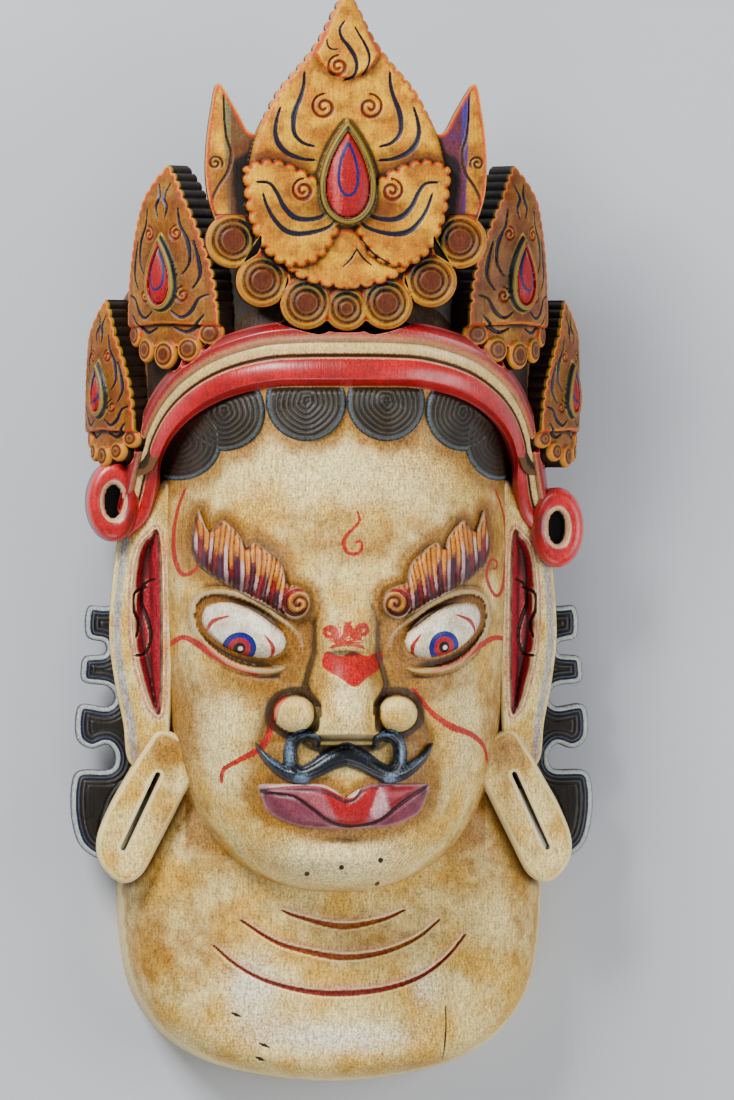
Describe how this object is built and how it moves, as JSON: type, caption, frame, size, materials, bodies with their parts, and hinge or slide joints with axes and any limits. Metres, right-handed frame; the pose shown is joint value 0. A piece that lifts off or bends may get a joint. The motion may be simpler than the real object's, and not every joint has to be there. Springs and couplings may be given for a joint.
{
  "type": "ceremonial dance mask",
  "caption": "Hollow carved wooden Tibetan cham mask of a wrathful guardian with neck bib, flame brows, stretched ears, rolled headband and a crown of ochre leaf boards.",
  "frame": {"origin": "middle of the bottom of the overall box, in the plane of the back rim that the mask lies on", "axes": "+Z out of the face, +Y from the neck to the tip of the crown, +X to the right as the face is looked at"},
  "size_m": [0.3856, 0.7999, 0.2316],
  "materials": {
    "painted_head": "aged cream paint with red and dark detail, worn satin",
    "ochre_leaf": "aged ochre paint with dark recesses, worn satin",
    "dark_scroll": "blue-black paint, worn satin"
  },
  "bodies": {
    "root": {"mask_head": "painted_head", "crown_leaf_centre": "ochre_leaf", "crown_leaf_inner_left": "ochre_leaf", "crown_leaf_inner_right": "ochre_leaf", "crown_leaf_outer_left": "ochre_leaf", "crown_leaf_outer_right": "ochre_leaf", "side_scroll_left": "dark_scroll", "side_scroll_right": "dark_scroll"}
  },
  "joints": []
}
